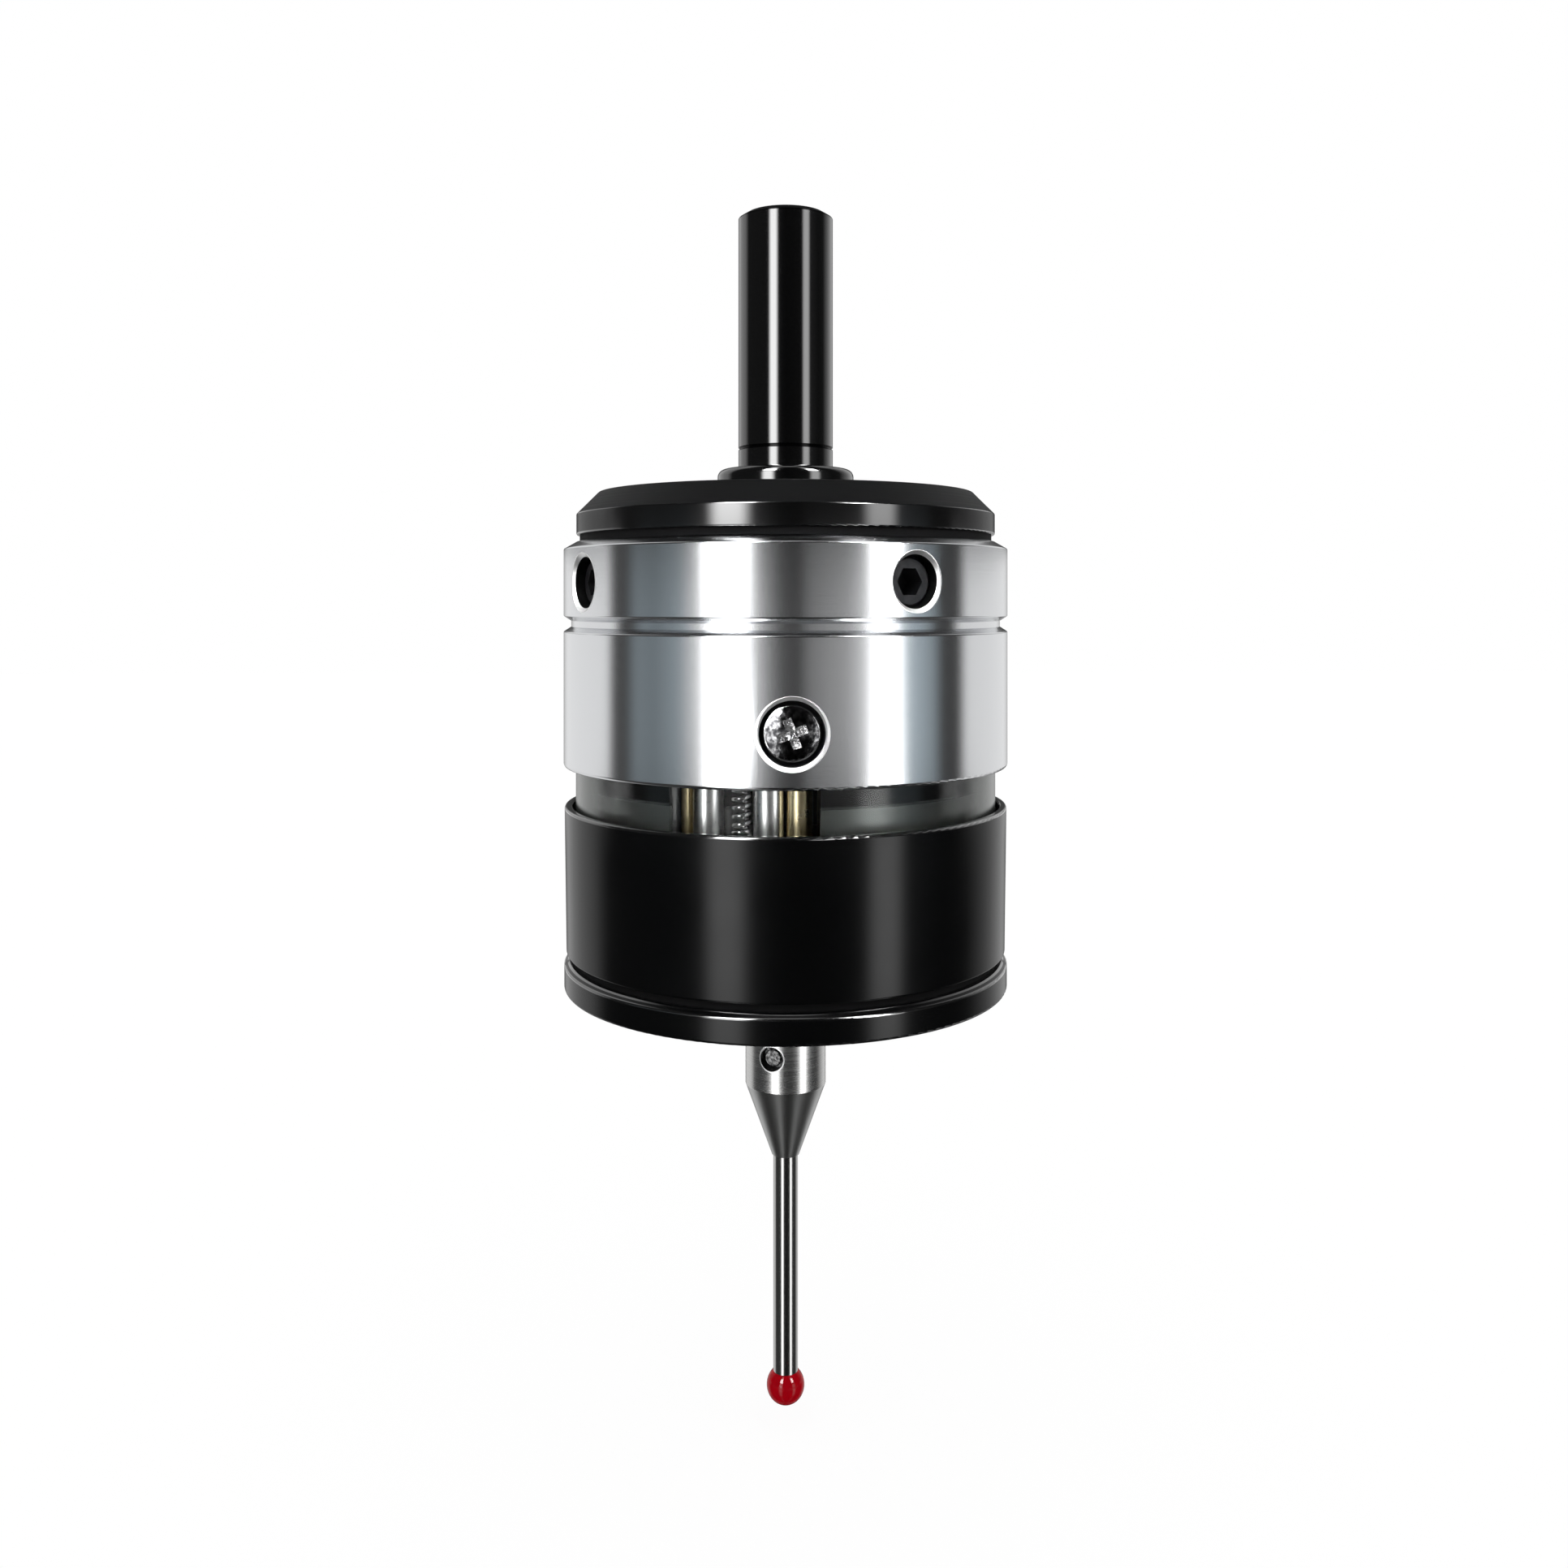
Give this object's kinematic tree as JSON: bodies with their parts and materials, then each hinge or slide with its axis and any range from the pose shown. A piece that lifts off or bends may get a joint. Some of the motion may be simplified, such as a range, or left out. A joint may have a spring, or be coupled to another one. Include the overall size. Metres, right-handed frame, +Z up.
{
  "type": "touch probe",
  "caption": "Spindle touch probe with a straight shank, a ringed body with a clear optical window, and a sprung stylus with a ball tip that tilts and lifts.",
  "frame": {"origin": "on the shank's axis at the gauge face, where the shank meets the top of its collar", "axes": "+Z up along the shank, away from the stylus; -Y is the front, where the window's cut-out and one sleeve screw are"},
  "size_m": [0.0465, 0.0464, 0.1259],
  "materials": {
    "black_anodised": "gloss black anodised",
    "silver": "fine satin",
    "steel": "turned and polished",
    "black_steel": "blackened",
    "spring_steel": "drawn wire",
    "chrome_ball": "polished",
    "stem": "ground and polished",
    "brass": "turned",
    "rubber": "matte",
    "window": "clear, lightly smoked",
    "filter": "gloss, dark infrared filter",
    "tray_plastic": "moulded",
    "cell": "plain sleeve",
    "board": "dark solder mask",
    "chip": "moulded",
    "emitter": "dark tinted",
    "lamp": "milky",
    "ruby": "polished"
  },
  "bodies": {
    "housing": {"shank": "black_anodised", "shank_washer": "steel", "shank_nut": "black_steel", "top_plate": "black_anodised", "top_gasket": "rubber", "body_sleeve": "silver", "centring_screws": "black_steel", "sleeve_screws": "steel", "battery_tray": "tray_plastic", "battery_left": "cell", "battery_right": "cell", "battery_contacts": "brass", "window_seal_upper": "rubber", "window_ring": "window", "window_seal_lower": "rubber", "filter_drum": "filter", "steel_pillars": "steel", "brass_standoffs": "brass", "contact_springs": "spring_steel", "circuit_board": "board", "board_chips": "chip", "ir_emitters": "emitter", "ir_receivers": "chip", "status_lamp": "lamp", "lower_sleeve": "black_anodised", "spring_plug": "steel", "main_spring": "spring_steel", "seat_ring": "steel", "cover_seal": "rubber", "front_wiper": "rubber", "bottom_cover": "black_anodised", "cover_screws": "black_steel"},
    "plunger": {"spring_cup": "steel"},
    "pivot": {"thrust_ball": "chrome_ball"},
    "stylus": {"stylus_carrier": "steel", "stylus_base": "steel", "lock_screw": "steel", "stylus_stem": "stem", "ruby_ball": "ruby"}
  },
  "joints": [
    {"name": "stylus_lift", "type": "slide", "parent": "housing", "child": "plunger", "axis": [0, 0, 1], "range_m": [0, 0.0035], "stiffness_N_per_m": 500, "springref_m": -0.008, "deforming": ["main_spring"]},
    {"name": "stylus_tilt_x", "type": "hinge", "parent": "plunger", "child": "pivot", "pos_m": [0, 0, -0.04444], "axis": [1, 0, 0], "range_deg": [-9, 9], "stiffness_Nm_per_rad": 0.12},
    {"name": "stylus_tilt_y", "type": "hinge", "parent": "pivot", "child": "stylus", "pos_m": [0, 0, -0.04444], "axis": [0, 1, 0], "range_deg": [-9, 9], "stiffness_Nm_per_rad": 0.12}
  ]
}
